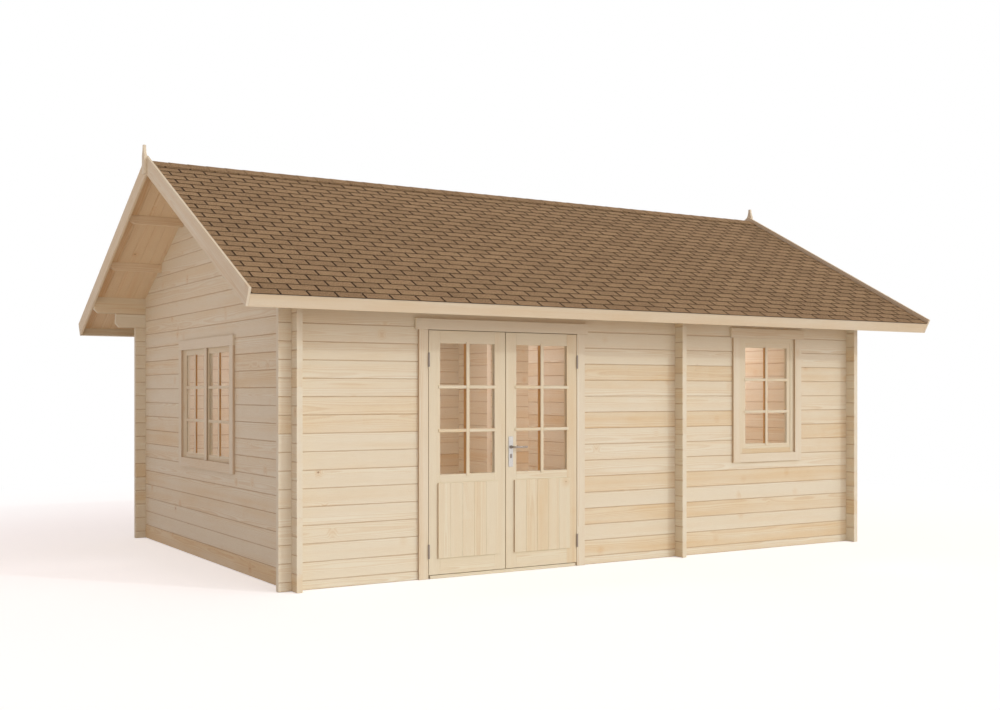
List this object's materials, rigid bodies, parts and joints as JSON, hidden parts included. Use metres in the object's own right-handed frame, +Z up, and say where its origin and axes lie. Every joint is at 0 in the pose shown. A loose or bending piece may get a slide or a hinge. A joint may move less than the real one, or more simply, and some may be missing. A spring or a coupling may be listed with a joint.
{
  "type": "log cabin",
  "caption": "Rectangular cabin of notched pine logs with a shingled gable roof, wide overhangs, an outward-opening glazed double door, casement windows and an inner partition.",
  "frame": {"origin": "on the ground below the middle of the ridge, the bottom centre of the overall box", "axes": "+X along the ridge to the right seen from the front, +Y from the front wall to the back wall, +Z up"},
  "size_m": [6.8886, 4.8564, 3.5082],
  "materials": {
    "log_pine": "planed bare pine",
    "trim_pine": "planed bare pine",
    "roof_pine": "planed bare pine boards",
    "door_pine": "planed bare pine",
    "floor_pine": "planed floor boards",
    "shingle": "mineral granules on bitumen",
    "glass": "clear float glass",
    "steel": "satin"
  },
  "bodies": {
    "cabin": {"front_wall_left": "log_pine", "front_wall_right": "log_pine", "front_wall_top": "log_pine", "back_wall": "log_pine", "left_gable_wall": "log_pine", "right_gable_wall": "log_pine", "partition_wall": "log_pine", "floor_left_room": "floor_pine", "floor_right_room": "floor_pine", "ridge_purlin": "roof_pine", "front_purlins": "roof_pine", "back_purlins": "roof_pine", "front_roof_boards": "roof_pine", "back_roof_boards": "roof_pine", "front_shingles": "shingle", "back_shingles": "shingle", "ridge_cap": "shingle", "left_front_barge": "trim_pine", "left_back_barge": "trim_pine", "right_front_barge": "trim_pine", "right_back_barge": "trim_pine", "front_eave_board": "trim_pine", "back_eave_board": "trim_pine", "left_finial": "trim_pine", "right_finial": "trim_pine", "door_frame": "door_pine", "door_threshold": "door_pine", "door_casing": "trim_pine", "door_hinge_pins": "steel", "front_window_casing": "trim_pine", "front_window_frame": "door_pine", "front_window_sash": "door_pine", "front_window_glass": "glass", "gable_window_casing": "trim_pine", "gable_window_frame": "door_pine", "gable_window_sashes": "door_pine", "gable_window_glass": "glass"},
    "left_leaf": {"left_leaf_stiles": "door_pine", "left_leaf_rails": "door_pine", "left_leaf_panel": "door_pine", "left_leaf_glass": "glass", "left_leaf_hinges": "steel"},
    "right_leaf": {"right_leaf_stiles": "door_pine", "right_leaf_rails": "door_pine", "right_leaf_panel": "door_pine", "right_leaf_glass": "glass", "right_leaf_hinges": "steel", "door_handle": "steel"}
  },
  "joints": [
    {"name": "left_door", "type": "hinge", "parent": "cabin", "child": "left_leaf", "pos_m": [-1.7795, -1.9268, 1], "axis": [0, 0, -1], "range_deg": [0, 110]},
    {"name": "right_door", "type": "hinge", "parent": "cabin", "child": "right_leaf", "pos_m": [-0.3755, -1.9268, 1], "axis": [0, 0, 1], "range_deg": [0, 110]}
  ]
}
